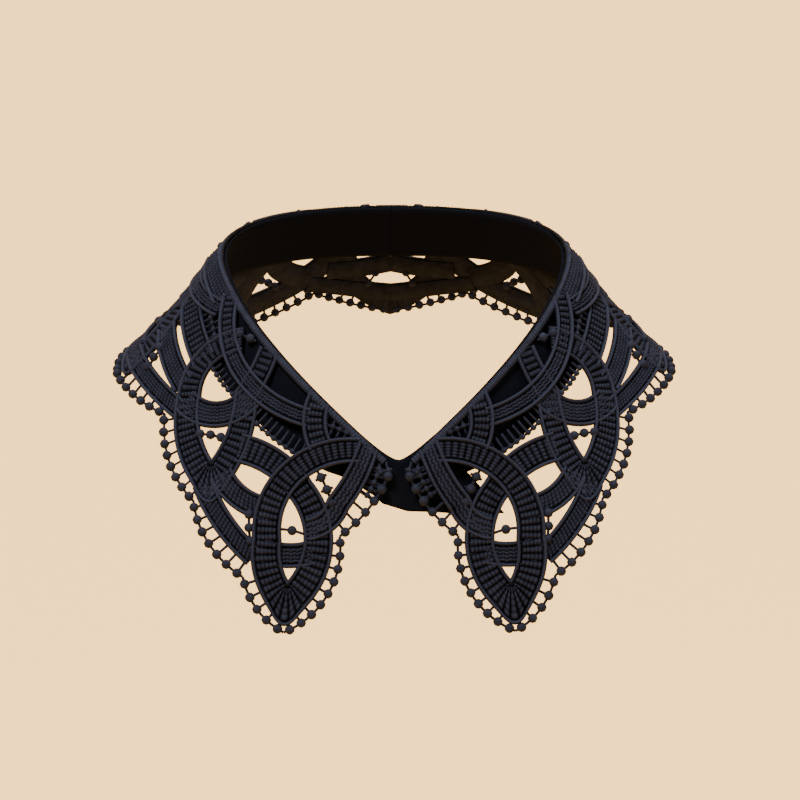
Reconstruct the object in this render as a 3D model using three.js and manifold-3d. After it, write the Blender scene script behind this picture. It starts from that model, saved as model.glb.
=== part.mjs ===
// A detachable lace collar with two pointed fronts, worn: ribbed tapes with corded edges, laid as interlaced
// pointed ovals, joined by bobble bars and edged with bobble picots, on a plain woven neckband.
// Millimetres, +Z up, the front towards -Y. The origin is on the neck's axis, level with the sides of the
// neckline.
import * as THREE from "three";
import Module from "manifold-3d";

const wasm = await Module();
wasm.setup();

// Cloth
const LACE_WALL = 1.4;
const BAND_WALL = 1.2;
const SEAM_GAP = 0.3;
const LAYER = 0.5; // how far a tape that crosses over another one rises

// Edge bobbles
const BOBBLE_PITCH = 5.2;
const BOBBLE_RADIUS = 2; // of a bobble that tapers to the thread at both ends
const THREAD_RADIUS = 0.65;
const BAR_EVERY = 2; // which bobbles have a bar to the tape
const PICOT_BAR = 6;
const SWAG_BAR = 6;

// Steps and corners of the sweeps
const TAPE_STEP = 8;
const BAND_STEP = 7;
const SHARP_TURN = 0.8; // the cosine of a turn that counts as a corner
const CORNER_CLEAR = 0.85; // how near a tape's next place may be to a corner, as a share of its width
const MITRE_LIMIT = 0.35; // the smallest cosine that a mitre is worked out from

// The neckline of the wearer's right half, from the centre back to the front end, and the angle below level at
// which the cloth leaves the neckline and reaches its outer edge, in degrees.
const NECKLINE = [
  { at: 0, x: 0, y: 48, z: 13, neckRoll: 50, edgeRoll: 62 },
  { at: 34.8, x: -34, y: 41.6, z: 12, neckRoll: 50, edgeRoll: 60 },
  { at: 63.8, x: -57.5, y: 25.5, z: 8.5, neckRoll: 52, edgeRoll: 64 },
  { at: 92.4, x: -68.2, y: 1, z: 0, neckRoll: 52, edgeRoll: 56 },
  { at: 118.4, x: -62.5, y: -19.5, z: -14.5, neckRoll: 52, edgeRoll: 50 },
  { at: 146.2, x: -49.5, y: -38, z: -30.5, neckRoll: 58, edgeRoll: 58 },
  { at: 172.7, x: -33, y: -50.5, z: -47, neckRoll: 64, edgeRoll: 64 },
  { at: 213.5, x: -3.8, y: -61, z: -73.4, neckRoll: 72, edgeRoll: 68 },
];
const FRONT_END = 213.5; // neckline length of one half
const BAND_START = 0.2; // half the seam at the centre back
const EDGE_DEPTH = 75; // depth at which the cloth has its edge angle
const STRAIGHT = 1e-6; // the least bend that is worked with, in radians
const CUT_RADIUS = 170; // the curve of the neckline in the flat cut

// The band leaves the lace's neckline here and rounds the bottom of the neck opening
const BAND_TURN = 196;
const BAND_CENTRE = { y: -60.4, z: -73.6 };
const BAND_TUCK = 5; // degrees steeper than the lace
const BAND_LAP = 17; // how far the right band runs on past the centre front
const BAND_DEPTHS = [
  { at: 0, depth: 26 },
  { at: 165, depth: 25 },
  { at: 187, depth: 23.5 },
  { at: 205, depth: 19.5 },
  { at: 214.5, depth: 17.5 },
  { at: 236, depth: 37 },
];

// A natural cubic spline with a level or given slope at its start. It runs on straight past its last point.
function cubicSpline(at, values, startSlope) {
  const n = at.length;
  const h = at.slice(1).map((a, i) => a - at[i]);
  const low = new Array(n).fill(0);
  const mid = new Array(n).fill(1);
  const high = new Array(n).fill(0);
  const right = new Array(n).fill(0);
  mid[0] = 2 * h[0];
  high[0] = h[0];
  right[0] = 6 * ((values[1] - values[0]) / h[0] - startSlope);
  for (let i = 1; i < n - 1; i++) {
    low[i] = h[i - 1];
    mid[i] = 2 * (h[i - 1] + h[i]);
    high[i] = h[i];
    right[i] = 6 * ((values[i + 1] - values[i]) / h[i] - (values[i] - values[i - 1]) / h[i - 1]);
  }
  for (let i = 1; i < n; i++) {
    const share = low[i] / mid[i - 1];
    mid[i] -= share * high[i - 1];
    right[i] -= share * right[i - 1];
  }
  const bend = new Array(n).fill(0);
  for (let i = n - 2; i >= 0; i--) bend[i] = (right[i] - high[i] * bend[i + 1]) / mid[i];
  return (s) => {
    const t = Math.min(Math.max(s, at[0]), at[n - 1]);
    let i = 0;
    while (i < n - 2 && t > at[i + 1]) i++;
    const a = at[i + 1] - t;
    const b = t - at[i];
    const from = values[i] / h[i] - (bend[i] * h[i]) / 6;
    const to = values[i + 1] / h[i] - (bend[i + 1] * h[i]) / 6;
    const value = (bend[i] * a ** 3 + bend[i + 1] * b ** 3) / (6 * h[i]) + from * a + to * b;
    const slope = (bend[i + 1] * b * b - bend[i] * a * a) / (2 * h[i]) - from + to;
    return { value: value + slope * (s - t), slope };
  };
}

const lengths = NECKLINE.map((row) => row.at);
const column = (name, startSlope) => cubicSpline(lengths, NECKLINE.map((row) => row[name]), startSlope);
const neckX = column("x", -1);
const neckY = column("y", 0);
const neckZ = column("z", 0);
const neckRoll = column("neckRoll", 0);
const edgeRoll = column("edgeRoll", 0);

function laceNeckline(u) {
  const [x, y, z] = [neckX(u), neckY(u), neckZ(u)];
  return {
    point: new THREE.Vector3(x.value, y.value, z.value),
    along: new THREE.Vector3(x.slope, y.slope, z.slope).normalize(),
  };
}

// Round the bottom of the neck opening the band follows a curve that is level where it crosses the centre.
const turnStart = laceNeckline(BAND_TURN);
const turnReach = (BAND_CENTRE.z - turnStart.point.z) / turnStart.along.z;
const turnCorner = turnStart.point.clone().addScaledVector(turnStart.along, turnReach);
turnCorner.y = BAND_CENTRE.y;
const turnCurve = new THREE.QuadraticBezierCurve3(
  turnStart.point,
  turnCorner,
  new THREE.Vector3(0, BAND_CENTRE.y, BAND_CENTRE.z),
);
const BAND_FRONT = BAND_TURN + turnCurve.getLength();

function bandNeckline(u) {
  if (u <= BAND_TURN) return laceNeckline(u);
  const share = Math.min((u - BAND_TURN) / (BAND_FRONT - BAND_TURN), 1);
  return { point: turnCurve.getPointAt(share), along: turnCurve.getTangentAt(share) };
}

// A place on the worn cloth: u along the neckline, v down the cloth, both in mm. The cloth leaves the neckline
// at the neck angle and bends evenly to the edge angle.
function clothPoint(neckline, tuck, u, v) {
  const { point, along } = neckline(u);
  const out = new THREE.Vector3(along.y, -along.x, 0).normalize();
  const down = new THREE.Vector3().crossVectors(along, out);
  const end = Math.min(u, FRONT_END);
  const start = THREE.MathUtils.degToRad(neckRoll(end).value + tuck);
  const finish = THREE.MathUtils.degToRad(edgeRoll(end).value + tuck);
  const bend = Math.abs(finish - start) > STRAIGHT ? (finish - start) / EDGE_DEPTH : STRAIGHT;
  const outward = (Math.sin(start + bend * v) - Math.sin(start)) / bend;
  const fall = (Math.cos(start) - Math.cos(start + bend * v)) / bend;
  return point.clone().addScaledVector(out, outward).addScaledVector(down, fall);
}

const lacePoint = (u, v) => clothPoint(laceNeckline, 0, u, v);
const bandPoint = (u, v) => {
  if (u <= BAND_FRONT) return clothPoint(bandNeckline, BAND_TUCK, u, v);
  const mirrored = clothPoint(bandNeckline, BAND_TUCK, 2 * BAND_FRONT - u, v);
  mirrored.x *= -1;
  return mirrored;
};

// The outward direction of the cloth at a place.
function clothNormal(place, u, v) {
  const d = 0.5;
  const along = place(u + d, v).sub(place(u - d, v));
  const down = place(u, v + d).sub(place(u, v - d));
  return down.cross(along).normalize();
}

// The circular arc through three places, as a function from 0 to 1; a straight line if they lie on one.
function arc(from, over, to) {
  const [ax, ay] = [over[0] - from[0], over[1] - from[1]];
  const [bx, by] = [to[0] - from[0], to[1] - from[1]];
  const cross = 2 * (ax * by - ay * bx);
  if (Math.abs(cross) < 1e-3) return (t) => [from[0] + bx * t, from[1] + by * t];
  const [a2, b2] = [ax * ax + ay * ay, bx * bx + by * by];
  const cx = from[0] + (by * a2 - ay * b2) / cross;
  const cy = from[1] + (ax * b2 - bx * a2) / cross;
  const radius = Math.hypot(from[0] - cx, from[1] - cy);
  const angle = (p) => Math.atan2(p[1] - cy, p[0] - cx);
  const start = angle(from);
  const sense = cross > 0 ? 1 : -1;
  const turn = (a) => sense * THREE.MathUtils.euclideanModulo(sense * (a - start), 2 * Math.PI);
  const sweep = turn(angle(to));
  return (t) => [cx + radius * Math.cos(start + sweep * t), cy + radius * Math.sin(start + sweep * t)];
}

// Places along one or more arcs, evenly spaced, as [u, v, which arc, share of it]. Where two arcs meet at a sharp
// corner, none is closer to it than clear.
function routeOf(arcs, step, clear) {
  const curves = arcs.map((row) => arc(...row));
  const heading = ([a, b]) => Math.atan2(b[1] - a[1], b[0] - a[0]);
  const sharp = curves.slice(1).map((curve, i) => {
    const turn = heading([curve(0), curve(0.02)]) - heading([curves[i](0.98), curves[i](1)]);
    return Math.cos(turn) < SHARP_TURN;
  });
  const places = [];
  curves.forEach((curve, i) => {
    const fine = Array.from({ length: 41 }, (_, k) => curve(k / 40));
    const gaps = fine.slice(1).map((p, k) => Math.hypot(p[0] - fine[k][0], p[1] - fine[k][1]));
    const length = gaps.reduce((sum, gap) => sum + gap, 0);
    const first = sharp[i - 1] ? clear / length : 0;
    const last = sharp[i] ? 1 - clear / length : 1;
    const count = Math.max(1, Math.ceil(((last - first) * length) / step));
    if (sharp[i - 1]) places.push([...curve(0), i, 0]);
    for (let k = i > 0 && !first ? 1 : 0; k <= count; k++) {
      const share = first + ((last - first) * k) / count;
      places.push([...curve(share), i, share]);
    }
  });
  return places;
}

// The lace is joined up flat, as it is embroidered, on a ring sector of about its cut's curve, and then worn.
const flat = (u, v, h) => {
  const radius = CUT_RADIUS + v;
  return [radius * Math.sin(u / CUT_RADIUS), radius * Math.cos(u / CUT_RADIUS), h];
};
const fromFlat = (x, y) => [CUT_RADIUS * Math.atan2(x, y), Math.hypot(x, y) - CUT_RADIUS];

// How many millimetres of cloth one millimetre of neckline stands for at a place.
const flare = (u, v) => lacePoint(u + 0.5, v).distanceTo(lacePoint(u - 0.5, v));

// A closed flat solid swept along places. section(k) gives its corners there as [sideways, outwards] in mm of
// cloth, anticlockwise. A corner between two arcs is mitred.
function sweep(places, section) {
  const last = places.length - 1;
  const heading = (k, wide) => {
    const [p, q] = [places[k], places[k + 1]];
    const d = new THREE.Vector2((q[0] - p[0]) * wide, q[1] - p[1]).normalize();
    return new THREE.Vector2(-d.y, d.x);
  };
  const rings = places.map(([u, v], k) => {
    const wide = flare(u, v);
    const before = heading(Math.max(k - 1, 0), wide);
    const after = heading(Math.min(k, last - 1), wide);
    const side = before.clone().add(after).normalize();
    const mitre = 1 / Math.max(side.dot(after), MITRE_LIMIT);
    return section(k).map(([x, h]) => flat(u + (side.x * x * mitre) / wide, v + side.y * x * mitre, h));
  });
  return closedLoft(rings);
}

// A closed solid through rings with equal numbers of corners. Each end is closed by a zigzag across its ring.
function closedLoft(rings) {
  const sides = rings[0].length;
  const faces = [];
  const lastRing = (rings.length - 1) * sides;
  for (let r = 0; r < lastRing; r += sides)
    for (let i = 0; i < sides; i++) {
      const [a, b] = [r + i, r + ((i + 1) % sides)];
      faces.push(a, b, b + sides, a, b + sides, a + sides);
    }
  const cap = (a, b, c) => faces.push(a, c, b, lastRing + a, lastRing + b, lastRing + c);
  for (let low = 0, high = sides - 1; low + 1 < high; low++, high--) {
    cap(low, low + 1, high);
    if (low + 1 < high - 1) cap(low + 1, high - 1, high);
  }
  return solidOf(rings.flat(2), faces);
}

const solidOf = (numbers, faces) =>
  new wasm.Manifold(
    new wasm.Mesh({ numProp: 3, vertProperties: new Float32Array(numbers), triVerts: new Uint32Array(faces) }),
  );

// A tape is a flat strip of wall. Its widths are given where its arcs start and end. Each of its arcs lies some
// layers up, so that it shows which tape is on top.
function tape({ arcs, widths, layers }) {
  const places = routeOf(arcs, TAPE_STEP, Math.max(...widths) * CORNER_CLEAR);
  return sweep(places, (k) => {
    const [, , i, share] = places[k];
    const half = THREE.MathUtils.lerp(widths[i], widths[i + 1], share) / 2;
    const top = LACE_WALL + LAYER * layers[i];
    return [[-half, 0], [half, 0], [half, top], [-half, top]];
  });
}

const roundSection = (radius, height, corners) =>
  Array.from({ length: corners }, (_, i) => {
    const angle = (2 * Math.PI * (i + 0.5)) / corners;
    return [radius * Math.cos(angle), height + radius * Math.sin(angle)];
  });

const bar = (from, to) => sweep([from, to], () => roundSection(THREAD_RADIUS, LACE_WALL / 2, 3));

// A thread with bobbles at even places along it and, where barLength is given, a bar from each bobble to the
// right of the thread's way.
function beadedThread({ arcs, pitch = BOBBLE_PITCH, barLength }) {
  const fine = routeOf(arcs, 0.8, 0);
  const points = fine.map(([u, v]) => lacePoint(u, v));
  const run = [0];
  for (let k = 1; k < points.length; k++) run.push(run[k - 1] + points[k].distanceTo(points[k - 1]));
  const total = run[run.length - 1];
  const count = Math.max(1, Math.round(total / pitch));
  const placeAt = (distance) => {
    let k = 1;
    while (k < run.length - 1 && run[k] < distance) k++;
    const share = (distance - run[k - 1]) / (run[k] - run[k - 1]);
    return [0, 1].map((i) => fine[k - 1][i] + (fine[k][i] - fine[k - 1][i]) * share);
  };
  const places = [placeAt(0)];
  const radii = [THREAD_RADIUS];
  const bars = [];
  for (let i = 0; i < count; i++) {
    const middle = ((i + 0.5) * total) / count;
    const [before, here, after] = [-1, 0, 1].map((d) => placeAt(middle + d));
    places.push(here, placeAt(((i + 1) * total) / count));
    radii.push(BOBBLE_RADIUS, THREAD_RADIUS);
    if (!barLength || i % BAR_EVERY) continue;
    const wide = flare(...here);
    const along = new THREE.Vector2((after[0] - before[0]) * wide, after[1] - before[1]).normalize();
    bars.push(bar(here, [here[0] + (along.y * barLength) / wide, here[1] - along.x * barLength]));
  }
  const height = (radius) => Math.max(radius, LACE_WALL / 2);
  return [sweep(places, (k) => roundSection(radii[k], height(radii[k]), 5)), ...bars];
}

// The neckline cord, the tapes and the threads of the wearer's right half. Places are [u, v]. A repeat is laid
// out from the tip of its pointed oval, and narrows along the neckline where the cloth flares more. Widths are
// given where the arcs of a tape start and end.
const LOOP_WIDTHS = [10, 11, 12.2, 10, 9];
const SMILE_WIDTHS = [11, 11];
const SHOULDER_WIDTHS = [11, 11];
const LINK_WIDTHS = [9.8, 9.8];
const SWAG_WIDTHS = [8, 8];
const SLIM_WIDTHS = [7.6, 8];
const HEM_WIDTHS = [9, 8.6];
const NECK_WIDTHS = [3.2, 3.2];
const REPEATS = [
  { tip: 171, spread: 1, depth: 1 },
  { tip: 111, spread: 0.92, depth: 0.96 },
  { tip: 56, spread: 0.92, depth: 0.98 },
];

function repeatOf({ tip, spread, depth }) {
  const at = (du, v) => [tip + du * spread, v * depth];
  const upperArm = [at(-33, 8), at(-37.8, 24), at(-30.5, 38.5)];
  const lowerArm = [at(-30.5, 38.5), at(-17, 49.3), at(0.5, 54)];
  const innerArm = [at(0.5, 54), at(-2.5, 38.5), at(-14, 21)];
  const neckArm = [at(-14, 21), at(-17, 11), at(-21.5, 2)];
  return {
    tapes: [
      { arcs: [upperArm, lowerArm, innerArm, neckArm], widths: LOOP_WIDTHS, layers: [1, 1, 0, 0] },
      { arcs: [[at(-53, 2), at(-17, 16.6), at(19, 2)]], widths: SWAG_WIDTHS, layers: [1] },
      { arcs: [[at(-30, 41), at(-17, 34.8), at(-12.5, 18)]], widths: SMILE_WIDTHS, layers: [0] },
      { arcs: [[at(-66, 19), at(-53, 22.8), at(-38, 25.5)]], widths: SHOULDER_WIDTHS, layers: [0] },
      { arcs: [[at(-62, 33.5), at(-49, 36.8), at(-36, 38)]], widths: LINK_WIDTHS, layers: [0] },
      { arcs: [[at(-63, 51.5), at(-47, 49), at(-29, 45)]], widths: HEM_WIDTHS, layers: [0] },
      { arcs: [[at(-84, 6), at(-65, 5), at(-46, 6)]], widths: LINK_WIDTHS, layers: [0] },
    ],
    threads: [
      { arcs: [[at(-60.5, 61.5), at(-46, 57.5), at(-32, 51)]], barLength: PICOT_BAR },
      { arcs: [[at(-32, 51), at(-18, 60), at(1, 63.5)]], barLength: PICOT_BAR },
      { arcs: [[at(-17, 46), at(-12.5, 41.5), at(-7, 38)]] },
      { arcs: [[at(-56, 37), at(-54, 42.5), at(-51, 49)]] },
      { arcs: [[at(-38, 9), at(-33, 5.5), at(-27, 2)]] },
    ],
  };
}

const FRONT = {
  tapes: [
    {
      arcs: [
        [[203, 5], [190.6, 27], [200.5, 54.5]],
        [[200.5, 54.5], [209.5, 63.6], [221.7, 67.3]],
        [[221.7, 67.3], [216.8, 44], [197, 31.5]],
        [[197, 31.5], [184, 30.8], [170, 36.5]],
      ],
      widths: [10, 11.4, 12.6, 11, 12],
      layers: [2, 2, 1, 1],
    },
    { arcs: [[[202.5, 2], [210.9, 21], [208.5, 41.5]]], widths: SLIM_WIDTHS, layers: [2] },
    { arcs: [[[170, 56.3], [186, 61.3], [201, 62.6]]], widths: HEM_WIDTHS, layers: [0] },
    { arcs: [[[199, 59.5], [208, 54.8], [216, 46]]], widths: LINK_WIDTHS, layers: [0] },
    { arcs: [[[172, 48.5], [182, 49.8], [194, 44.5]]], widths: LINK_WIDTHS, layers: [0] },
    { arcs: [[[178, 0.5], [182, 7.6], [191, 14]]], widths: LINK_WIDTHS, layers: [0] },
  ],
  threads: [
    { arcs: [[[172, 63.5], [187, 70.8], [203, 71]]], barLength: PICOT_BAR },
    { arcs: [[[203, 71], [214.5, 76.3], [228.5, 76]]], barLength: PICOT_BAR },
    { arcs: [[[228.5, 76], [231.8, 59], [219.5, 34.5]]], barLength: PICOT_BAR },
    { arcs: [[[219.5, 34.5], [220.3, 20], [214.5, 3]]], barLength: PICOT_BAR },
    { arcs: [[[161, 25.5], [175, 24.6], [189, 22]]], barLength: SWAG_BAR },
    { arcs: [[[200, 49], [205, 45], [211, 42]]] },
    { arcs: [[[195, 20.5], [202, 24], [210, 28]]] },
    { arcs: [[[188, 50], [193, 56], [198, 60.5]]] },
    { arcs: [[[183, 9], [190, 5], [199, 2.5]]] },
  ],
};
const BACK = {
  tapes: [
    { arcs: [[[7, 2], [17, 32], [-3, 58]]], widths: SMILE_WIDTHS, layers: [1] },
    { arcs: [[[-3, 17.5], [10, 16], [22, 2]]], widths: SWAG_WIDTHS, layers: [0] },
  ],
  threads: [],
};
const NECK_CORD = { arcs: [[[-2, 1.8], [107, 1.8], [FRONT_END - 0.5, 1.8]]], widths: NECK_WIDTHS, layers: [1] };
// What is cut off above the neckline, as a band from below the cloth to above the highest layer
const ABOVE_NECK = {
  arcs: [[[-8, -6], [107, -6], [FRONT_END + 12, -6]]],
  width: 12.4,
  bottom: -5,
  top: 8,
};

// A mesh of a flat solid once it is worn: each vertex goes to its place on the cloth, moved out by its height.
function wornMesh(solid, name, material, mirror) {
  const { numProp, vertProperties, triVerts, numVert } = solid.getMesh();
  const position = new Float32Array(numVert * 3);
  for (let i = 0; i < numVert; i++) {
    const [x, y, h] = vertProperties.subarray(i * numProp, i * numProp + 3);
    const [u, v] = fromFlat(x, y);
    const p = lacePoint(u, v).addScaledVector(clothNormal(lacePoint, u, v), h);
    position.set([Math.min(p.x, -SEAM_GAP / 2) * (mirror ? -1 : 1), p.y, p.z], i * 3);
  }
  return meshOf(position, mirror ? triVerts : turned(triVerts), name, material);
}

function turned(faces) {
  const out = faces.slice();
  for (let f = 0; f < out.length; f += 3) [out[f + 1], out[f + 2]] = [out[f + 2], out[f + 1]];
  return out;
}

function meshOf(position, faces, name, material) {
  const geometry = new THREE.BufferGeometry();
  geometry.setAttribute("position", new THREE.BufferAttribute(position, 3));
  geometry.setIndex(new THREE.BufferAttribute(faces, 1));
  const mesh = new THREE.Mesh(geometry, material);
  mesh.name = name;
  return mesh;
}

function laceHalf() {
  const groups = [...REPEATS.map(repeatOf), FRONT, BACK];
  const tapes = [NECK_CORD, ...groups.flatMap((group) => group.tapes)].map(tape);
  const threads = groups.flatMap((group) => group.threads).flatMap(beadedThread);
  const halfWidth = ABOVE_NECK.width / 2;
  const aboveNeck = sweep(routeOf(ABOVE_NECK.arcs, TAPE_STEP, 0), () => [
    [-halfWidth, ABOVE_NECK.bottom],
    [halfWidth, ABOVE_NECK.bottom],
    [halfWidth, ABOVE_NECK.top],
    [-halfWidth, ABOVE_NECK.top],
  ]);
  const whole = wasm.Manifold.union([...tapes, ...threads]).subtract(aboveNeck);
  return whole.trimByPlane([1, 0, 0], SEAM_GAP / 2);
}

const bandDepth = (u) => {
  const i = Math.max(1, BAND_DEPTHS.findIndex((row) => row.at >= u));
  const [a, b] = [BAND_DEPTHS[i - 1], BAND_DEPTHS[i]];
  return a.depth + ((b.depth - a.depth) * (u - a.at)) / (b.at - a.at);
};

// Half of the neckband, from the centre back to a place along its neckline. Past lapStart it lies a wall and a
// gap further in, so that it passes under the other half.
function neckband(end, lapStart) {
  const count = Math.round(end / BAND_STEP);
  const ringAt = (u) => {
    const share = lapStart ? THREE.MathUtils.smoothstep(u, lapStart, lapStart + BAND_LAP / 2) : 0;
    const outer = -SEAM_GAP - share * (BAND_WALL + SEAM_GAP);
    const drops = [0, 0.35, 0.7, 1].map((part) => part * bandDepth(u));
    return [...drops.map((v) => [v, outer]), ...drops.reverse().map((v) => [v, outer - BAND_WALL])];
  };
  const rings = Array.from({ length: count + 1 }, (_, k) => {
    const u = BAND_START + ((end - BAND_START) * k) / count;
    return ringAt(u).map(([v, h]) => bandPoint(u, v).addScaledVector(clothNormal(bandPoint, u, v), h).toArray());
  });
  return closedLoft(rings);
}

function bandMesh(solid, name, mirror) {
  const { vertProperties, triVerts } = solid.getMesh();
  const position = vertProperties.map((value, i) => (mirror && i % 3 === 0 ? -value : value));
  return meshOf(position, mirror ? turned(triVerts) : triVerts, name, bandCloth);
}

const laceCloth = new THREE.MeshStandardMaterial({ color: 0x1c1d24, roughness: 0.85, metalness: 0 });
const bandCloth = new THREE.MeshStandardMaterial({ color: 0x16171c, roughness: 0.9, metalness: 0 });

const collar = new THREE.Group();
const half = laceHalf();
collar.add(wornMesh(half, "lace_right", laceCloth, false));
collar.add(wornMesh(half, "lace_left", laceCloth, true));
const underBand = neckband(BAND_FRONT + BAND_LAP, BAND_FRONT - 6);
const overBand = neckband(BAND_FRONT - 4);
collar.add(bandMesh(underBand, "neckband_right", false));
collar.add(bandMesh(overBand, "neckband_left", true));

export default collar;
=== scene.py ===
"""A black detachable collar of interlaced tape lace on a plain woven neckband, worn and open at the front.

The lace is laid out as it is worn: u runs along the neckline from the centre back to the front end, and v
runs down the cloth. The tables are in millimetres, and MM makes metres of them where a vertex is placed.
"""

import math

import bmesh
import bpy
import numpy as np
from mathutils import Matrix, Vector


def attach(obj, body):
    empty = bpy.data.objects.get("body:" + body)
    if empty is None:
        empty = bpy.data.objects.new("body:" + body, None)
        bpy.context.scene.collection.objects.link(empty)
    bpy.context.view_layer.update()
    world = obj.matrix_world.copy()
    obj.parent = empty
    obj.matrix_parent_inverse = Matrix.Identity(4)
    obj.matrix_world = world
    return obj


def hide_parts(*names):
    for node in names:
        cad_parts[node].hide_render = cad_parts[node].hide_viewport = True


MM = 0.001

# Cloth
LACE_WALL = 1.4
BAND_WALL = 1.2
SEAM_GAP = 0.3  # between lace and band, and between the two halves of the band where they overlap
EDGE_START = 0.35  # no tape or thread comes nearer to the neckline

# Crossings: each stretch of a tape has a layer number, which says how many tapes it passes over
LAYER = 0.42
LAYER_CHANGE = 7  # how far a tape takes to rise over another one
LAYER_FADE = 8  # below the neckline, where no tape has risen yet

# A flat tape has a cord along each edge. Its corners go from the edge inwards.
CORD = 1.8
CORD_TOP = 2.15
GROOVE = 0.55  # how high the cloth is between a cord and the stitches
CORD_OUT = (0.0, 0.1, 0.45, 0.9, 1.35, CORD)
CORD_UP = (0.4, 1.25, 0.94 * CORD_TOP, CORD_TOP, 1.5, GROOVE)
CORD_TWIST = 0.05  # how much a cord swells and narrows, as a share
FIELD_START = CORD + 0.25
UNDERSIDE_INSET = 0.4
# The underside is given a relief of 0.4 as a colour level, not a height, so that it takes the deep colour:
# painted shade.
UNDERSIDE_SHADE_LEVEL = 0.4

# The round cord along the neckline: corners as shares of its width, and heights
ROUND_CORD_OUT = (0, 0.12, 0.5, 0.88, 1, 0.85, 0.15)
ROUND_CORD_UP = (0.5, 1.4, 1.9, 1.4, 0.5, 0, 0)
ROUND_CORD_RIBS = (0.72, 0.34)  # height between its ribs, and what a rib adds

# Stitches between a tape's cords
ROW_STEP = 0.42  # from one ring of corners to the next
ROW_PITCH = 1.3
ROW_CORNERS = 4
BLOCK_PITCH = 2.7
RIB_PITCH = 1.35
HUMP_ROUNDNESS = 0.8
LADDER = dict(block=0.55, row=0.65, rib=0.12)
RIDGES = dict(base=0.1, ridge=0.75, rib=0.45, wave=0.16)
SATIN = dict(base=0.2, slant=0.6, row=0.5, spacing=1.3, lean=1.2)
BLOCKS_END = (24, 34)  # where a long tape's blocks give way to ridges

# Corners of the tapes
SHARP_TURN = 0.6  # radians between two arcs that meet in a corner
TIP_ROUNDING = 0.5  # share of each side of an outer corner that is rounded
TIP_PLACES = 12
FAN_PACE = 0.62  # share of the outer edge's length that the stitches round a corner keep to

# Threads and bobbles
THREAD_RADIUS = 0.55
THREAD_SIDES = 6
THREAD_STEP = 0.9
BAR_PLACES = 4
# Threads and bobbles are given a relief of 0.6 as a colour level, not a height, so that they are partly
# darkened with painted shade.
THREAD_SHADE_LEVEL = 0.6
BOBBLE_PITCH = 5.3
BOBBLE_RADIUS = 1.95
BOBBLE_SIDES = 8
BOBBLE_RINGS = 6
BOBBLE_RISE = 0.25  # how far a bobble's middle stands above the thread's, as a share of its radius
PICOT_BAR = 7
SWAG_BAR = 6
NET_PITCH = 2.9
NET_BEAD = 1.2

# How finely curves are worked out before their places are spaced evenly
ARC_PLACES = 200
TURN_PLACES = 201
FLAT_ARC = 1e-3  # the least bulge of an arc that is not a straight line
NEAR = 0.5  # on each side of a place, for slopes
WELD = 1e-7  # metres

# The neckline of the wearer's right half: distance from the centre back, place, and the angles below level
# at the neckline and at the outer edge.
NECKLINE = np.array(
    [
        # at, x, y, z, neck angle, edge angle
        (0, 0, 48, 13, 50, 62),
        (34.8, -34, 41.6, 12, 50, 60),
        (63.8, -57.5, 25.5, 8.5, 52, 64),
        (92.4, -68.2, 1, 0, 52, 56),
        (118.4, -62.5, -19.5, -14.5, 52, 50),
        (146.2, -49.5, -38, -30.5, 58, 58),
        (172.7, -33, -50.5, -47, 64, 64),
        (213.5, -3.8, -61, -73.4, 72, 68),
    ]
)
FRONT_END = 213.5
EDGE_DEPTH = 75  # where the cloth has its edge angle
STRAIGHT = 1e-6  # the least bend that is worked with

# The neckband leaves the lace's neckline and rounds the bottom of the neck opening
BAND_TURN = 196
BAND_CENTRE = (-60.4, -73.6)  # y and z at the centre front
BAND_TUCK = 5  # degrees steeper than the lace
BAND_LAP = 17  # how far the right half runs on past the centre front
BAND_LAP_START = 6  # before the centre front, where it starts to go under the left half
BAND_SHORT = 4  # how far from the centre front the left half ends
BAND_DEPTHS = {0: 26, 165: 25, 187: 23.5, 199: 19.5, 207: 15.8, 214.5: 16.2, 225: 32, 236: 43}
BAND_STEP = 1.5
BAND_CORNERS = 15  # on each face
BAND_INSET = 0.02  # how far each face lies within the wall
BAND_ROUNDING = 0.25 * BAND_WALL

# Tape widths where the arcs of a tape start and end. A loop is a pointed oval, a smile crosses it, a swag
# hangs from the neckline, and a link, shoulder or hem tape joins one oval to the next.
LOOP_WIDTHS = (10, 11, 12.2, 10, 9)
FRONT_WIDTHS = (10, 11.4, 12.6, 11, 12)
SMILE_WIDTHS = (11, 11)
SHOULDER_WIDTHS = (11, 11)
LINK_WIDTHS = (9.8, 9.8)
SWAG_WIDTHS = (8, 8)
CROSSING_WIDTHS = (8.6, 9.6, 8.8)
HEM_WIDTHS = (9, 8.6)
NECK_WIDTHS = (3.4, 3.4)


def spline(at, values, start_slope):
    """A natural cubic spline with a given slope at its start, straight past its last point."""
    n = len(at)
    h = np.diff(at)
    system = np.eye(n)
    right = np.zeros(n)
    system[0, :2] = 2 * h[0], h[0]
    right[0] = 6 * ((values[1] - values[0]) / h[0] - start_slope)
    for i in range(1, n - 1):
        system[i, i - 1 : i + 2] = h[i - 1], 2 * (h[i - 1] + h[i]), h[i]
        right[i] = 6 * ((values[i + 1] - values[i]) / h[i] - (values[i] - values[i - 1]) / h[i - 1])
    bend = np.linalg.solve(system, right)

    def at_length(s):
        t = np.clip(s, at[0], at[-1])
        i = np.clip(np.searchsorted(at, t, side="right") - 1, 0, n - 2)
        a, b = at[i + 1] - t, t - at[i]
        start = values[i] / h[i] - bend[i] * h[i] / 6
        end = values[i + 1] / h[i] - bend[i + 1] * h[i] / 6
        value = (bend[i] * a**3 + bend[i + 1] * b**3) / (6 * h[i]) + start * a + end * b
        slope = (bend[i + 1] * b**2 - bend[i] * a**2) / (2 * h[i]) - start + end
        return value + slope * (s - t), slope

    return at_length


NECK_AT = NECKLINE[:, 0]
NECK_CURVES = [spline(NECK_AT, NECKLINE[:, k], -1 if k == 1 else 0) for k in (1, 2, 3)]
NECK_ANGLES = [spline(NECK_AT, NECKLINE[:, k], 0) for k in (4, 5)]


def unit(vectors):
    """The vectors with a length of one."""
    return vectors / np.linalg.norm(vectors, axis=-1, keepdims=True)


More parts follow.
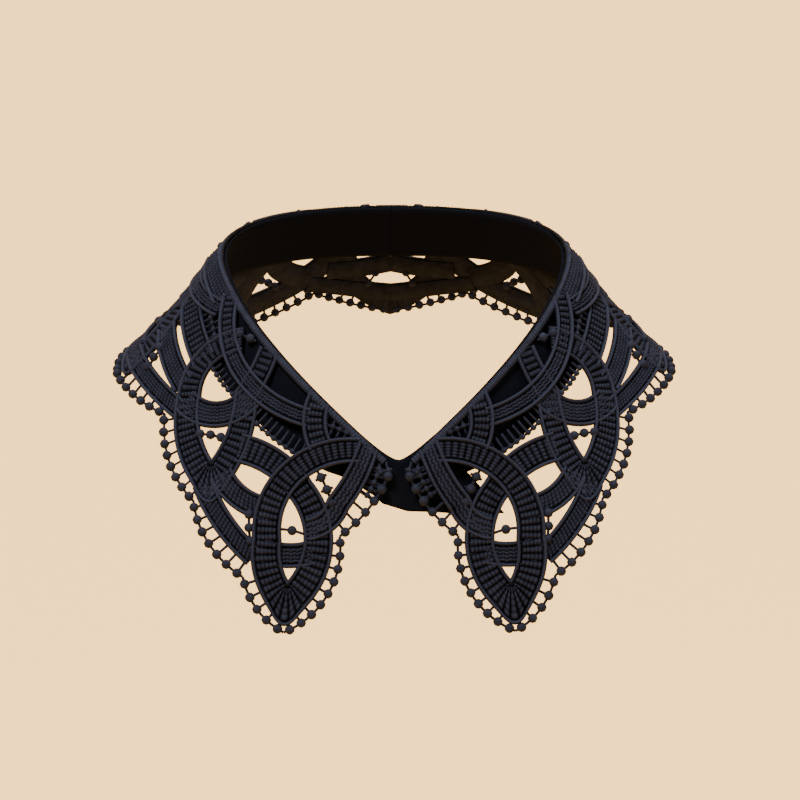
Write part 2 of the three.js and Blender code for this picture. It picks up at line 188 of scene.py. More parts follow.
def lace_neckline(u):
    """Places along the lace's neckline, and the way that it runs there."""
    pairs = [curve(u) for curve in NECK_CURVES]
    point = np.stack([value for value, _ in pairs], -1)
    return point, unit(np.stack([slope for _, slope in pairs], -1))


def band_turn():
    """The curve round the bottom of the neck opening, as lengths, points and directions."""
    point, along = lace_neckline(np.array(float(BAND_TURN)))
    corner = point + along * (BAND_CENTRE[1] - point[2]) / along[2]
    corner[1] = BAND_CENTRE[0]
    end = np.array([0.0, *BAND_CENTRE])
    t = np.linspace(0, 1, TURN_PLACES)[:, None]
    points = (1 - t) ** 2 * point + 2 * t * (1 - t) * corner + t**2 * end
    slopes = unit(2 * (1 - t) * (corner - point) + 2 * t * (end - corner))
    steps = np.linalg.norm(np.diff(points, axis=0), axis=1)
    return np.concatenate([[0], np.cumsum(steps)]), points, slopes


TURN_RUN, TURN_POINTS, TURN_SLOPES = band_turn()
BAND_FRONT = BAND_TURN + TURN_RUN[-1]


def band_neckline(u):
    """The same for the neckband, which follows the lace and then turns to the centre front."""
    point, along = lace_neckline(u)
    past = (u > BAND_TURN)[..., None]
    share = u - BAND_TURN
    turned = [
        np.stack([np.interp(share, TURN_RUN, table[:, k]) for k in range(3)], -1)
        for table in (TURN_POINTS, TURN_SLOPES)
    ]
    return np.where(past, turned[0], point), unit(np.where(past, turned[1], along))


def cloth_point(neckline, tuck, u, v):
    """Places on the worn cloth, which leaves the neckline at one angle and bends evenly to the other."""
    point, along = neckline(u)
    out = unit(np.stack([along[..., 1], -along[..., 0], np.zeros_like(u)], -1))
    down = np.cross(along, out)
    end = np.minimum(u, FRONT_END)
    start, finish = [np.radians(angle(end)[0] + tuck) for angle in NECK_ANGLES]
    bend = (finish - start) / EDGE_DEPTH
    bend = np.where(np.abs(bend) < STRAIGHT, STRAIGHT, bend)
    outward = (np.sin(start + bend * v) - np.sin(start)) / bend
    fall = (np.cos(start) - np.cos(start + bend * v)) / bend
    return point + out * outward[..., None] + down * fall[..., None]


def lace_place(u, v):
    """Places on the worn lace."""
    return cloth_point(lace_neckline, 0, u, v)


def band_place(u, v):
    """Places on the worn neckband. Past the centre front it is the other half's cloth, mirrored."""
    folded = np.where(u > BAND_FRONT, 2 * BAND_FRONT - u, u)
    place = cloth_point(band_neckline, BAND_TUCK, folded, v)
    place[..., 0] *= np.where(u > BAND_FRONT, -1, 1)
    return place


def worn(place, u, v, height):
    """Places on the cloth moved out by a height, in metres."""
    u, v, height = np.broadcast_arrays(*(np.asarray(values, float) for values in (u, v, height)))
    along = place(u + NEAR, v) - place(u - NEAR, v)
    down = place(u, v + NEAR) - place(u, v - NEAR)
    normal = unit(np.cross(down, along))
    return (place(u, v) + normal * height[..., None]) * MM


def flare(u, v):
    """How many millimetres of cloth one millimetre of neckline stands for at a place."""
    u, v = np.asarray(u, float), np.asarray(v, float)
    return np.linalg.norm(lace_place(u + NEAR, v) - lace_place(u - NEAR, v), axis=-1) / (2 * NEAR)


def arc(start, over, end, count):
    """Places along the circular arc through three places, or along a straight line if they lie on one."""
    start, over, end = (np.array(p, float) for p in (start, over, end))
    t = np.linspace(0, 1, count)[:, None]
    a, b = over - start, end - start
    cross = 2 * (a[0] * b[1] - a[1] * b[0])
    if abs(cross) < FLAT_ARC:
        return start + b * t
    centre = start + np.array([b[1] * (a @ a) - a[1] * (b @ b), a[0] * (b @ b) - b[0] * (a @ a)]) / cross
    first, last = (math.atan2(*(p - centre)[::-1]) for p in (start, end))
    sense = 1 if cross > 0 else -1
    sweep = sense * ((sense * (last - first)) % (2 * math.pi))
    angle = first + sweep * t
    return centre + np.linalg.norm(start - centre) * np.hstack([np.cos(angle), np.sin(angle)])


def even_route(arcs, step):
    """Places along arcs that join smoothly, spaced evenly by the length of cloth between them."""
    fine = np.vstack([arc(*row, ARC_PLACES)[min(i, 1) :] for i, row in enumerate(arcs)])
    gaps = np.linalg.norm(np.diff(lace_place(fine[:, 0], fine[:, 1]), axis=0), axis=1)
    run = np.concatenate([[0], np.cumsum(gaps)])
    count = max(2, round(run[-1] / step) + 1)
    at = np.linspace(0, run[-1], count)
    return np.stack([np.interp(at, run, fine[:, k]) for k in (0, 1)], 1), at


def side_of(route):
    """The sideways step of one millimetre of cloth at each place of a route."""
    wide = flare(route[:, 0], route[:, 1])
    way = np.gradient(route, axis=0)
    way = unit(np.stack([way[:, 0] * wide, way[:, 1]], 1))
    return np.stack([-way[:, 1] / wide, way[:, 0]], 1)


def heading_change(before, after):
    """The turn between the end of one route and the start of the next, in radians."""
    a, b = before[-1] - before[-2], after[1] - after[0]
    return math.atan2(a[0] * b[1] - a[1] * b[0], a @ b)


def grouped(arcs):
    """The numbers of the arcs in runs that join smoothly; a sharp corner starts a new run."""
    runs = [[0]]
    for i in range(1, len(arcs)):
        before, after = (arc(*row, ARC_PLACES) for row in arcs[i - 1 : i + 1])
        if abs(heading_change(before, after)) > SHARP_TURN:
            runs.append([])
        runs[-1].append(i)
    return runs


def run_of(tape, numbers):
    """A smooth run of a tape's arcs: its places, lengths, layers and half widths, row by row."""
    arcs = [tape["arcs"][i] for i in numbers]
    route, at = even_route(arcs, ROW_STEP)
    joints = np.cumsum([0, *(even_route([row], 1)[1][-1] for row in arcs)])
    rises = ([joint - LAYER_CHANGE / 2, joint + LAYER_CHANGE / 2] for joint in joints[1:-1])
    marks = np.concatenate([[0], *rises, [at[-1]]])
    layer = np.interp(at, marks, np.repeat([tape["layers"][i] for i in numbers], 2))
    half = np.interp(at, joints, tape["widths"][numbers[0] : numbers[-1] + 2]) / 2
    return route, at, layer, half


def rails(tape):
    """The two edges of a tape row by row, with each row's length along the tape and its layer.

    Round a sharp corner the rows fan out from the corner of the inner edge.
    """
    left = right = run = layer = None
    for numbers in grouped(tape["arcs"]):
        route, next_run, next_layer, half = run_of(tape, numbers)
        side = side_of(route) * half[:, None]
        next_left, next_right = route + side, route - side
        if left is None:
            left, right, run, layer = next_left, next_right, next_run, next_layer
            continue
        turn = heading_change((left + right) / 2, (next_left + next_right) / 2)
        clear = half[0] * math.tan(abs(turn) / 2)
        keep, start = run < run[-1] - clear, next_run > clear
        left, right, run, layer = left[keep], right[keep], run[keep], layer[keep]
        next_left, next_right, next_run = next_left[start], next_right[start], next_run[start]
        next_layer = next_layer[start]
        inner, outer, inner_next, outer_next = left, right, next_left, next_right
        if turn < 0:
            inner, outer, inner_next, outer_next = right, left, next_right, next_left
        tip = meeting(outer[-2:], outer_next[:2])
        fan = rounded_corner(outer[-1], tip, outer_next[0])[1:-1]
        hinge = np.repeat((inner[-1:] + inner_next[:1]) / 2, len(fan), 0)
        fan_left, fan_right = (hinge, fan) if turn > 0 else (fan, hinge)
        fan_run = run[-1] + FAN_PACE * ROW_STEP * np.arange(1, len(fan) + 1)
        fan_layer = np.linspace(layer[-1], next_layer[0], len(fan))
        left = np.vstack([left, fan_left, next_left])
        right = np.vstack([right, fan_right, next_right])
        layer = np.concatenate([layer, fan_layer, next_layer])
        run = np.concatenate([run, fan_run, fan_run[-1] + ROW_STEP + next_run - next_run[0]])
    return left, right, run, layer


def meeting(first, second):
    """Where the line through one pair of places meets the line through another."""
    a, b = first[1] - first[0], second[1] - second[0]
    gap = second[0] - first[1]
    return first[1] + a * (gap[0] * b[1] - gap[1] * b[0]) / (a[0] * b[1] - a[1] * b[0])


def rounded_corner(start, tip, end):
    """Places from start to end past a tip that is a little rounded."""
    before, after = tip + (start - tip) * TIP_ROUNDING, tip + (end - tip) * TIP_ROUNDING
    t = np.linspace(0, 1, TIP_PLACES)[:, None]
    bend = (1 - t) ** 2 * before + 2 * t * (1 - t) * tip + t**2 * after
    corners = np.vstack([start, bend, end])
    gaps = np.diff(corners, axis=0)
    gaps[:, 0] *= flare(corners[1:, 0], corners[1:, 1])
    run = np.concatenate([[0], np.cumsum(np.linalg.norm(gaps, axis=1))])
    at = np.linspace(0, run[-1], round(run[-1] / ROW_STEP) + 1)
    return np.stack([np.interp(at, run, corners[:, k]) for k in (0, 1)], 1)


def closed_strip(bm, places, run, relief):
    """Adds a closed tube to bm. places[i, j] is corner j of ring i.

    Its uv map holds the length along the strip and the number of the corner, and its relief layer holds how
    far each corner stands out, from 0 to 1, which the cloth material turns into painted shade where it is
    low.
    """
    rings, corners = places.shape[:2]
    uv_map = bm.loops.layers.uv.verify()
    reliefs = relief_layer(bm)
    made = bmesh.ops.create_grid(bm, x_segments=rings - 1, y_segments=corners, size=0.5)["verts"]
    for vert in made:
        i = round((vert.co.x + 0.5) * (rings - 1))
        j = round((vert.co.y + 0.5) * corners)
        for loop in vert.link_loops:
            loop[uv_map].uv = (run[i], j)
        vert.co = places[i, j % corners]
        vert[reliefs] = relief[i, j % corners]
    merged = bmesh.ops.find_doubles(bm, verts=made, dist=WELD)["targetmap"]
    bmesh.ops.weld_verts(bm, targetmap=merged)
    alive = [vert for vert in made if vert.is_valid]
    open_edges = {edge for vert in alive for edge in vert.link_edges if edge.is_boundary}
    bmesh.ops.holes_fill(bm, edges=list(open_edges), sides=0)


def relief_layer(bm):
    """The layer that says how far each corner stands out and so how much painted shade it gets, made where
    it is missing.
    """
    return bm.verts.layers.float.get("relief") or bm.verts.layers.float.new("relief")


def humps(turns):
    """Round humps with grooves between them, one for each turn, from 0 to 1."""
    return np.abs(np.sin(math.pi * turns)) ** HUMP_ROUNDNESS


def ladder(run, across, rows):
    """Raised blocks across the tape with deep grooves between them, each wound in lengthwise rows."""
    block = humps(run / BLOCK_PITCH)
    wound = LADDER["row"] * humps(across * rows) + LADDER["rib"] * humps(run / RIB_PITCH)
    return GROOVE + block * (LADDER["block"] + wound)


def ridges(run, across, rows):
    """Lengthwise ridges that wave a little, crossed by ribs."""
    sway = RIDGES["wave"] * np.sin(2 * math.pi * run / BLOCK_PITCH)
    ridge = humps(across * rows + sway)
    return GROOVE + RIDGES["base"] + ridge * (RIDGES["ridge"] + RIDGES["rib"] * humps(run / RIB_PITCH))


def satin(run, across, rows):
    """Slanted ribs crossed by lengthwise rows."""
    slanted = humps(run / RIB_PITCH / SATIN["spacing"] + SATIN["lean"] * across)
    return GROOVE + SATIN["base"] + slanted * (SATIN["slant"] + SATIN["row"] * humps(across * rows))


def blocks_then_ridges(run, across, rows):
    """Blocks at the tape's start and ridges further on."""
    share = np.clip((run - BLOCKS_END[0]) / (BLOCKS_END[1] - BLOCKS_END[0]), 0, 1)
    return (1 - share) * ladder(run, across, rows) + share * ridges(run, across, rows)


def corded_profile(width, run, field):
    """Corners of a corded tape's rows: distances from its left edge, which are the field, and heights."""
    rows = round((width - 2 * FIELD_START) / ROW_PITCH)
    corners = ROW_CORNERS * rows + 1
    cord_out, cord_up = np.array(CORD_OUT), np.array(CORD_UP)
    field_out = np.linspace(FIELD_START, width - FIELD_START, corners)
    middle = field(run[:, None], np.linspace(0, 1, corners)[None], rows)
    underside = [width - UNDERSIDE_INSET, UNDERSIDE_INSET]
    out = np.concatenate([cord_out, field_out, width - cord_out[::-1], underside])
    twist = 1 + CORD_TWIST * np.sin(2 * math.pi * run / RIB_PITCH)[:, None]
    heights = np.hstack([twist * cord_up, middle, twist * cord_up[::-1], np.zeros((len(run), 2))])
    is_field = np.zeros(len(out), bool)
    is_field[len(cord_out) : len(cord_out) + corners] = True
    return out, is_field, heights


def round_cord_profile(width, run):
    """The same for a round cord's rows, wound crosswise."""
    low, rise = ROUND_CORD_RIBS
    ribs = low + rise * humps(run / RIB_PITCH)[:, None]
    return np.array(ROUND_CORD_OUT) * width, np.zeros(len(ROUND_CORD_OUT), bool), ribs * ROUND_CORD_UP


def add_tape(bm, tape):
    """A tape with its cords and stitches, wrapped on the worn lace."""
    width = tape["widths"][0]
    left, right, run, layer = rails(tape)
    if tape["field"]:
        out, is_field, heights = corded_profile(width, run, tape["field"])
    else:
        out, is_field, heights = round_cord_profile(width, run)
    # The cords keep their width where the rows of a corner are longer than the tape is wide.
    row = right - left
    length = np.hypot(row[:, 0] * flare(left[:, 0], left[:, 1]), row[:, 1])[:, None]
    from_edge = np.where(out <= width / 2, out / length, 1 - (width - out) / length)
    stretch = (length - 2 * FIELD_START) / (width - 2 * FIELD_START)
    stretched = (FIELD_START + (out - FIELD_START) * stretch) / length
    shares = np.where(is_field, stretched, from_edge)
    u = left[:, :1] + row[:, :1] * shares
    v = np.maximum(left[:, 1:] + row[:, 1:] * shares, EDGE_START)
    lift = LAYER * layer[:, None] * np.clip(v / LAYER_FADE, 0, 1)
    places = worn(lace_place, u, v, heights + lift)
    # The relief of each corner, from groove to cord top, sets how much painted shade the material puts
    # there; the underside takes its painted shade level.
    upper = np.clip((heights - GROOVE) / (CORD_TOP - GROOVE), 0, 1)
    relief = np.where(heights > 0, upper, UNDERSIDE_SHADE_LEVEL)
    closed_strip(bm, places, run, relief)


def add_thread(bm, route):
    """A round thread along a route of places, in the middle of the wall."""
    side = side_of(route)
    angle = 2 * math.pi * np.arange(THREAD_SIDES) / THREAD_SIDES
    out = THREAD_RADIUS * np.cos(angle)
    u = route[:, :1] + side[:, :1] * out
    v = np.maximum(route[:, 1:] + side[:, 1:] * out, EDGE_START)
    places = worn(lace_place, u, v, LACE_WALL / 2 + THREAD_RADIUS * np.sin(angle)[None])
    closed_strip(bm, places, np.arange(float(len(route))), np.full(u.shape, THREAD_SHADE_LEVEL))


def add_bobble(bm, place, radius):
    """A round knot, each turned otherwise so that the knots in a row differ."""
    centre = worn(lace_place, place[0], place[1], LACE_WALL / 2 + radius * BOBBLE_RISE)
    turn = Matrix.Translation(Vector(centre)) @ Matrix.Rotation(place[0], 4, "X")
    reliefs = relief_layer(bm)
    made = bmesh.ops.create_uvsphere(
        bm, u_segments=BOBBLE_SIDES, v_segments=BOBBLE_RINGS, radius=radius * MM, matrix=turn
    )
    for vert in made["verts"]:
        vert[reliefs] = THREAD_SHADE_LEVEL


def add_beaded_thread(bm, row):
    """A thread with bobbles at even places, and bars from each bobble.

    A bar goes to the right of the thread's way, or to the left if its length is negative.
    """
    route, at = even_route(row["arcs"], THREAD_STEP)
    add_thread(bm, route)
    pitch, radius = row.get("pitch", BOBBLE_PITCH), row.get("bead", BOBBLE_RADIUS)
    count = max(1, round(at[-1] / pitch))
    side = side_of(route)
    for i in range(count):
        middle = (i + 0.5) * at[-1] / count
        here = np.array([np.interp(middle, at, route[:, k]) for k in (0, 1)])
        way = np.array([np.interp(middle, at, side[:, k]) for k in (0, 1)])
        add_bobble(bm, here, radius)
        for length in row.get("bars", ()):
            add_thread(bm, np.linspace(here, here - way * length, BAR_PLACES))


def tape(widths, field, layers, *arcs):
    """A tape along arcs, with a width where each arc starts and ends and a layer for each arc."""
    return dict(widths=widths, field=field, layers=layers, arcs=arcs)


def picot(*arcs):
    """A stretch of the bobble edge, with its bars to the tapes."""
    return dict(arcs=arcs, bars=(PICOT_BAR,))


def net(bars, *arcs):
    """A fine beaded thread with bars of the given lengths."""
    return dict(arcs=arcs, bars=bars, pitch=NET_PITCH, bead=NET_BEAD)


def beads(*arcs, **more):
    """A thread with bobbles, across an opening."""
    return dict(arcs=arcs, **more)


def repeat_group(tip, spread, depth):
    """The tapes and threads round one pointed oval. Places are measured from its tip along the neckline."""

    def at(du, v):
        return (tip + du * spread, v * depth)

    upper_arm = (at(-33, 8), at(-37.8, 24), at(-30.5, 38.5))
    lower_arm = (at(-30.5, 38.5), at(-17, 49.3), at(0.5, 54))
    inner_arm = (at(0.5, 54), at(-2.5, 38.5), at(-14, 21))
    neck_arm = (at(-14, 21), at(-17, 11), at(-21.5, 2))
    tapes = [
        tape(LOOP_WIDTHS, ladder, (1, 1, 0, 0.6), upper_arm, lower_arm, inner_arm, neck_arm),
        tape(SWAG_WIDTHS, blocks_then_ridges, (2,), (at(-53, 2), at(-22, 16.3), at(9.5, 9.3))),
        tape(SMILE_WIDTHS, ridges, (0.3,), (at(-30, 41), at(-17, 34.8), at(-12.5, 18))),
        tape(SHOULDER_WIDTHS, ladder, (0,), (at(-66, 19), at(-53, 22.8), at(-38, 25.5))),
        tape(LINK_WIDTHS, satin, (0,), (at(-62, 33.5), at(-49, 36.8), at(-36, 38))),
        tape(HEM_WIDTHS, satin, (0,), (at(-63, 51.5), at(-47, 49), at(-29, 45))),
        tape(LINK_WIDTHS, satin, (3,), (at(-84, 6), at(-69, 5.6), at(-54, 5.6))),
    ]
    threads = [
        picot((at(-60.5, 61.5), at(-46, 57.5), at(-32, 51))),
        picot((at(-32, 51), at(-18, 60), at(1, 63.5))),
        beads((at(-17, 46), at(-12.5, 41.5), at(-7, 38))),
        beads((at(-56, 37), at(-54, 42.5), at(-51, 49))),
        beads((at(-38, 9), at(-33.5, 6.6), at(-28.5, 4.4))),
        net((3.5, -3.5), (at(-74, 12), at(-60, 12.6), at(-42, 17))),
        net((4,), (at(-36, 24), at(-27, 25), at(-17, 24.5))),
    ]
    return tapes, threads


# The repeats from front to back, by the place of each oval's tip along the neckline
REPEATS = [
    dict(tip=171, spread=1, depth=1),
    dict(tip=111, spread=0.92, depth=0.96),
    dict(tip=56, spread=0.92, depth=0.98),
]

# The front wing, which the nearest repeat runs into
FRONT_LOOP = (
    ((203, 5), (190.6, 27), (200.5, 54.5)),
    ((200.5, 54.5), (209.5, 63.6), (221.7, 67.3)),
    ((221.7, 67.3), (216.8, 44), (197, 31.5)),
    ((197, 31.5), (184, 30.8), (170, 36.5)),
)
CROSSING_ARCS = (
    ((204, 0.5), (208.4, 12), (210.8, 26)),
    ((210.8, 26), (211.9, 34), (208.3, 41.2)),
)
FRONT_TAPES = [
    tape(FRONT_WIDTHS, ladder, (3, 3, 1, 0), *FRONT_LOOP),
    tape(CROSSING_WIDTHS, ridges, (4, 1.2), *CROSSING_ARCS),
    tape(HEM_WIDTHS, satin, (0,), ((170, 56.3), (186, 61.3), (201, 62.6))),
    tape(LINK_WIDTHS, ridges, (0,), ((199, 59.5), (208, 54.8), (216, 46))),
    tape(LINK_WIDTHS, satin, (0,), ((172, 48.5), (182, 49.8), (194, 44.5))),
    tape(LINK_WIDTHS, ladder, (3,), ((178, 0.5), (182, 7.6), (191, 14))),
]
FRONT_THREADS = [
    picot(((172, 63.5), (187, 70.8), (203, 71))),
    picot(((203, 71), (214.5, 76.3), (228.5, 76))),
    picot(((228.5, 76), (231.8, 59), (219.5, 34.5))),
    picot(((219.5, 34.5), (220.6, 20), (216.8, 2.5))),
    net((3, -3), ((216.8, 17), (215.6, 11), (212.6, 4))),
    net((3.5, -2), ((213.5, 7), (215.5, 4.5), (217, 1.8))),
    net((SWAG_BAR,), ((161, 25.5), (175, 24.6), (189, 22))),
    beads(((200.5, 48.5), (205.5, 44.7), (209.5, 42.9)), pitch=12),
    beads(((196.8, 22), (203.5, 24.4), (210.5, 28.6)), bars=(2.5, -2.5)),
    beads(((188, 50), (193, 56), (198, 60.5))),
    net((3.5, -3.5), ((183, 9), (190, 5), (199, 2.5))),
]

# The centre back, and the cord along the whole neckline
BACK_TAPES = [
    tape(SMILE_WIDTHS, ladder, (1,), ((7, 2), (17, 32), (-3, 58))),
    tape(SWAG_WIDTHS, ridges, (0,), ((-3, 17.5), (10, 16), (22, 2))),
]
NECK_CORD = tape(NECK_WIDTHS, None, (1,), ((0.3, 1.8), (107, 1.8), (FRONT_END - 0.5, 1.8)))


def piece(name, bm, material):
    """An object from a finished bmesh, riding on the one body."""
    bmesh.ops.recalc_face_normals(bm, faces=bm.faces)
    mesh = bpy.data.meshes.new(name)
    bm.to_mesh(mesh)
    bm.free()
    mesh.shade_smooth()
    mesh.materials.append(material)
    made = bpy.data.objects.new(name, mesh)
    bpy.context.scene.collection.objects.link(made)
    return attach(made, "root")


def other_side(bm):
    """A mirrored copy of a bmesh across the centre line, with its faces turned back outwards."""
    copy = bm.copy()
    bmesh.ops.scale(copy, vec=(-1, 1, 1), verts=copy.verts)
    bmesh.ops.reverse_faces(copy, faces=copy.faces)
    return copy


def trimmed(bm):
    """Cuts off what passes the centre back, where the two halves are sewn together, and closes the cut."""
    cut = bmesh.ops.bisect_plane(
        bm,
        geom=bm.verts[:] + bm.edges[:] + bm.faces[:],
        plane_co=(0, 0, 0),
        plane_no=(1, 0, 0),
        clear_outer=True,
    )
    edges = [item for item in cut["geom_cut"] if isinstance(item, bmesh.types.BMEdge)]
    bmesh.ops.holes_fill(bm, edges=edges, sides=0)
    return bm


def lace_work(tapes, threads):
    """One bmesh of tapes and one of threads, up to the centre back."""
    tape_bm, thread_bm = bmesh.new(), bmesh.new()
    for row in tapes:
        add_tape(tape_bm, row)
    for row in threads:
        add_beaded_thread(thread_bm, row)
    return trimmed(tape_bm), trimmed(thread_bm)


def neckband(end, lap_start=None):
    """Half of the neckband. Past lap_start it goes a wall and a gap further in, under the other half."""
    u = np.linspace(0, end, round(end / BAND_STEP))
    depth = np.interp(u, list(BAND_DEPTHS), list(BAND_DEPTHS.values()))
    sink = np.zeros_like(u)
    if lap_start:
        share = np.clip((u - lap_start) / (BAND_LAP / 2), 0, 1)
        sink = share**2 * (3 - 2 * share) * (BAND_WALL + SEAM_GAP)
    across = np.linspace(0, 1, BAND_CORNERS)
    outer = np.full(BAND_CORNERS, -SEAM_GAP - BAND_INSET)
    inner = np.full(BAND_CORNERS, -SEAM_GAP - BAND_WALL + BAND_INSET)
    outer[[0, -1]] -= BAND_ROUNDING
    inner[[0, -1]] += BAND_ROUNDING
    v = depth[:, None] * np.concatenate([across, across[::-1]])
    heights = np.concatenate([outer, inner[::-1]]) - sink[:, None]
    bm = bmesh.new()
    closed_strip(bm, worn(band_place, u[:, None], v, heights), u, np.zeros(v.shape))
    return bm


def principled(name):
    """A new material with its node tree and its surface shader."""
    material = bpy.data.materials.new(name)
    material.use_nodes = True
    tree = material.node_tree
    return material, tree, tree.nodes["Principled BSDF"]


# Cloth finishes: colours from the grooves to the cords, then how fuzzy and how closely twisted the thread is
LACE_THREAD = dict(
    # deep is painted shade for the lace's grooves and underside, nearly black; high is the thread's colour
    # on the cord tops.
    deep=(0.0001, 0.0001, 0.0002),
    high=(0.0128, 0.0143, 0.0238),
    roughness=0.65,
    gloss=0.025,
    fuzz_scale=2600,
    fuzz_strength=0.6,
    twist_scale=0.9,
)
BAND_WEAVE = dict(
    deep=(0.0022, 0.0026, 0.0042),
    high=(0.0052, 0.0060, 0.0095),
    roughness=0.95,
    gloss=0.015,
    fuzz_scale=3200,
    fuzz_strength=0.5,
    twist_scale=1.6,
)
CLOUD_SCALE = 260
CLOUD_DETAIL = 4
CLOUD_SHARE = 0.5  # of the cloudy shade that is added to the relief
# Relief below this takes the deep colour, which on the lace is painted groove shade.
SHADE_START = 0.4  # the relief and shade below which the thread has its deep colour
FUZZ_DETAIL = 3
TWIST_SHARE = 0.6  # of the twist lines that is added to the fuzz
TWIST_WAVER = 0.6
BUMP_DEPTH = 0.0002


def noise(tree, place, scale, detail):
    """A cloudy value from 0 to 1 over the places that it is given."""
    node = tree.nodes.new("ShaderNodeTexNoise")
    node.inputs["Scale"].default_value = scale
    node.inputs["Detail"].default_value = detail
    tree.links.new(place, node.inputs["Vector"])
    return node.outputs["Fac"]


def weighted_sum(tree, first, share, second):
    """A share of the first value added to the second."""
    node = tree.nodes.new("ShaderNodeMath")
    node.operation = "MULTIPLY_ADD"
    node.inputs[1].default_value = share
    tree.links.new(first, node.inputs[0])
    tree.links.new(second, node.inputs[2])
    return node.outputs["Value"]


def cloth_material(name, deep, high, roughness, gloss, fuzz_scale, fuzz_strength, twist_scale):
    """Matte thread with shade painted into the grooves, so darker there than on the cords, cloudy, and bumpy
    with fuzz and twist lines.
    """
    material, tree, shader = principled(name)
    nodes, links = tree.nodes, tree.links
    coords = nodes.new("ShaderNodeTexCoord").outputs
    relief = nodes.new("ShaderNodeAttribute")
    relief.attribute_name = "relief"
    cloud = noise(tree, coords["Object"], CLOUD_SCALE, CLOUD_DETAIL)
    # On the lace this is painted shade: the colour runs from deep in the grooves to high on the cord tops
    # with the relief, plus some cloudy tone.
    ramp = nodes.new("ShaderNodeValToRGB")
    start, end = ramp.color_ramp.elements
    start.position, start.color = SHADE_START, (*deep, 1)
    end.position, end.color = 1.0, (*high, 1)
    links.new(weighted_sum(tree, cloud, CLOUD_SHARE, relief.outputs["Fac"]), ramp.inputs["Fac"])
    links.new(ramp.outputs["Color"], shader.inputs["Base Color"])
    shader.inputs["Roughness"].default_value = roughness
    shader.inputs["Specular IOR Level"].default_value = gloss
    twist = nodes.new("ShaderNodeTexWave")
    twist.bands_direction = "DIAGONAL"
    twist.inputs["Scale"].default_value = twist_scale
    twist.inputs["Distortion"].default_value = TWIST_WAVER
    links.new(coords["UV"], twist.inputs["Vector"])
    fuzz = noise(tree, coords["Object"], fuzz_scale, FUZZ_DETAIL)
    bump = nodes.new("ShaderNodeBump")
    bump.inputs["Strength"].default_value = fuzz_strength
    bump.inputs["Distance"].default_value = BUMP_DEPTH
    links.new(weighted_sum(tree, twist.outputs["Fac"], TWIST_SHARE, fuzz), bump.inputs["Height"])
    links.new(bump.outputs["Normal"], shader.inputs["Normal"])
    return material


# Camera: at the photograph's angle, a little above and a touch to the wearer's right
VIEW_DISTANCE = 1.0
VIEW_ELEVATION = math.radians(10)
VIEW_TURN = math.radians(-1.5)
FRAME_WIDTH = 0.308  # what the picture is wide at the view distance
PIXEL = FRAME_WIDTH / 800
VIEW_CENTRE = Vector((0.0, -0.060, -0.075))  # the bottom of the neck opening
VIEW_SHIFT = (1.5 * PIXEL, 63 * PIXEL)  # from there to the middle of the picture, right and up
SENSOR = 36


def make_camera():
    """The camera, aimed from its distance at the picture's middle."""
    forward = Vector(
        (
            -math.sin(VIEW_TURN) * math.cos(VIEW_ELEVATION),
            math.cos(VIEW_TURN) * math.cos(VIEW_ELEVATION),
            -math.sin(VIEW_ELEVATION),
        )
    )
    right = Vector((math.cos(VIEW_TURN), math.sin(VIEW_TURN), 0))
    up = right.cross(forward)
    data = bpy.data.cameras.new("camera")
    data.sensor_width = SENSOR
    data.lens = SENSOR * VIEW_DISTANCE / FRAME_WIDTH
    data.clip_start = 0.01
    camera = bpy.data.objects.new("camera", data)
    target = VIEW_CENTRE + right * VIEW_SHIFT[0] + up * VIEW_SHIFT[1]
    turn = Matrix((right, up, -forward)).transposed().to_4x4()
    camera.matrix_world = Matrix.Translation(target - forward * VIEW_DISTANCE) @ turn
    bpy.context.scene.collection.objects.link(camera)
    bpy.context.scene.camera = camera


# Stage: a pale floor that bends up into a wall behind the object
FLOOR_LEVEL = -0.42
FLOOR_HALF_WIDTH = 5
FLOOR_FRONT = -3
BEND_START = 0.9
BEND_RADIUS = 1.2
WALL_TOP = 4
BACKDROP = (0.08, 0.065, 0.04)
BACKDROP_GLOW = (3.1, 1.78, 0.58)
STUDIO_LIGHT = (0.8, 0.78, 0.8)
STUDIO_STRENGTH = 0.15
LAMPS = [
    dict(name="key", place=(-0.6, -0.9, 1.3), size=0.5, power=75),
    dict(name="fill", place=(1.0, -0.8, 0.4), size=0.8, power=12),
    dict(name="top", place=(0.3, 0.3, 1.3), size=0.6, power=30),
]
LAMP_TARGET = Vector((0, -0.02, -0.04))


def backdrop_material():
    """Pale beige paper that gives a little light of its own, so that it looks even."""
    material, _, shader = principled("pale_backdrop")
    shader.inputs["Base Color"].default_value = (*BACKDROP, 1)
    shader.inputs["Roughness"].default_value = 1.0
    shader.inputs["Specular IOR Level"].default_value = 0.0
    shader.inputs["Emission Color"].default_value = (*BACKDROP_GLOW, 1)
    shader.inputs["Emission Strength"].default_value = 1.0
    return material


def make_stage():
    """The backdrop: one sheet from the floor's front edge to the wall's top."""
    profile = [(FLOOR_FRONT, FLOOR_LEVEL)]
    for angle in map(math.radians, range(0, 91, 6)):
        rise = BEND_RADIUS * (1 - math.cos(angle))
        profile.append((BEND_START + BEND_RADIUS * math.sin(angle), FLOOR_LEVEL + rise))
    profile.append((BEND_START + BEND_RADIUS, WALL_TOP))
    bm = bmesh.new()
    rows = [[bm.verts.new((x, y, z)) for x in (-FLOOR_HALF_WIDTH, FLOOR_HALF_WIDTH)] for y, z in profile]
    for (a, b), (c, d) in zip(rows, rows[1:]):
        bm.faces.new((a, b, d, c))
    mesh = bpy.data.meshes.new("backdrop")
    bm.to_mesh(mesh)
    bm.free()
    mesh.shade_smooth()
    mesh.materials.append(backdrop_material())
    backdrop = bpy.data.objects.new("backdrop", mesh)
    bpy.context.scene.collection.objects.link(backdrop)


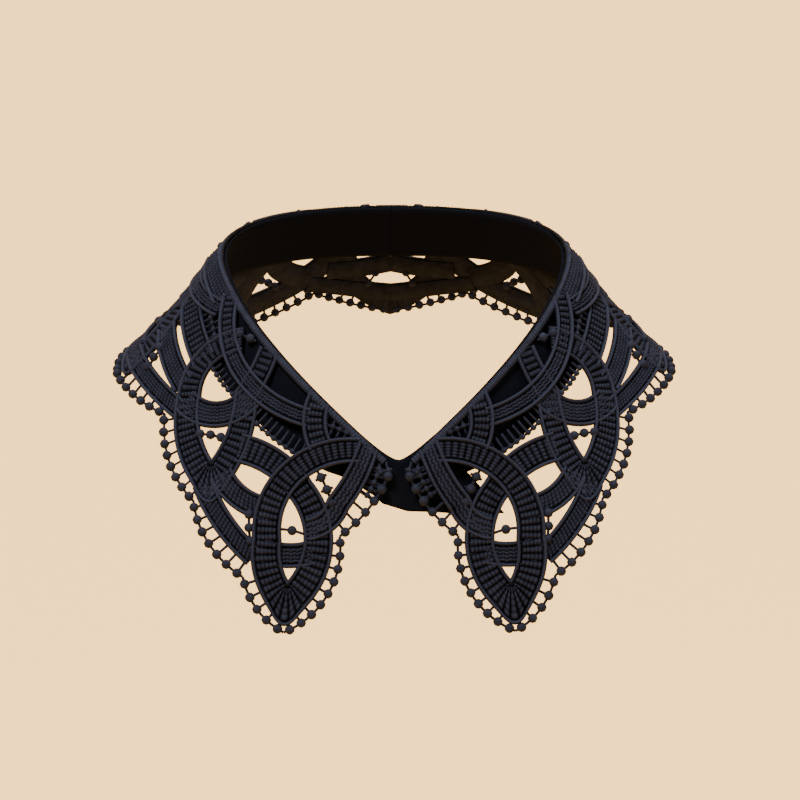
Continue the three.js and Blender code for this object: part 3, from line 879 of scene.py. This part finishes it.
def make_lights():
    """A faint even light all round and three soft lamps."""
    world = bpy.data.worlds.new("studio")
    world.use_nodes = True
    background = world.node_tree.nodes["Background"]
    background.inputs["Color"].default_value = (*STUDIO_LIGHT, 1)
    background.inputs["Strength"].default_value = STUDIO_STRENGTH
    bpy.context.scene.world = world
    for row in LAMPS:
        data = bpy.data.lights.new(row["name"], "AREA")
        data.size = row["size"]
        data.energy = row["power"]
        lamp = bpy.data.objects.new(row["name"], data)
        lamp.location = row["place"]
        lamp.rotation_euler = (LAMP_TARGET - lamp.location).to_track_quat("-Z", "Y").to_euler()
        bpy.context.scene.collection.objects.link(lamp)


def lace_layout():
    """The tapes and threads of one half. The front part is the wing with the repeat beside it."""
    parts = {"front": (list(FRONT_TAPES), list(FRONT_THREADS)), "side": ([NECK_CORD, *BACK_TAPES], [])}
    for number, row in enumerate(REPEATS):
        part = parts["side" if number else "front"]
        for rows, more in zip(part, repeat_group(**row)):
            rows.extend(more)
    return parts


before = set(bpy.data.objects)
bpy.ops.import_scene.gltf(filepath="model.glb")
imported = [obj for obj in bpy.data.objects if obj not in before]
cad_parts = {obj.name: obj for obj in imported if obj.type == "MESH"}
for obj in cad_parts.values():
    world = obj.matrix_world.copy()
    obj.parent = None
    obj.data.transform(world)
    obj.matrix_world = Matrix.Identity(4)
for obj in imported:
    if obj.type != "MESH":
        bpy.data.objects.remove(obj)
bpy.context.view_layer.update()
make_camera()
make_stage()
make_lights()

lace_thread = cloth_material("lace_thread", **LACE_THREAD)
band_weave = cloth_material("band_weave", **BAND_WEAVE)
works = {part: lace_work(*rows) for part, rows in lace_layout().items()}
under_band = piece("band_right", neckband(BAND_FRONT + BAND_LAP, BAND_FRONT - BAND_LAP_START), band_weave)
over_band = piece("band_left", other_side(neckband(BAND_FRONT - BAND_SHORT)), band_weave)
for side, band in (("right", under_band), ("left", over_band)):
    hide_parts(f"neckband_{side}")
    for part, (tape_bm, thread_bm) in works.items():
        turned = bmesh.types.BMesh.copy if side == "right" else other_side
        tapes = piece(f"{part}_tapes_{side}", turned(tape_bm), lace_thread)
        threads = piece(f"{part}_threads_{side}", turned(thread_bm), lace_thread)
        if part == "front":
            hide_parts(f"lace_{side}")
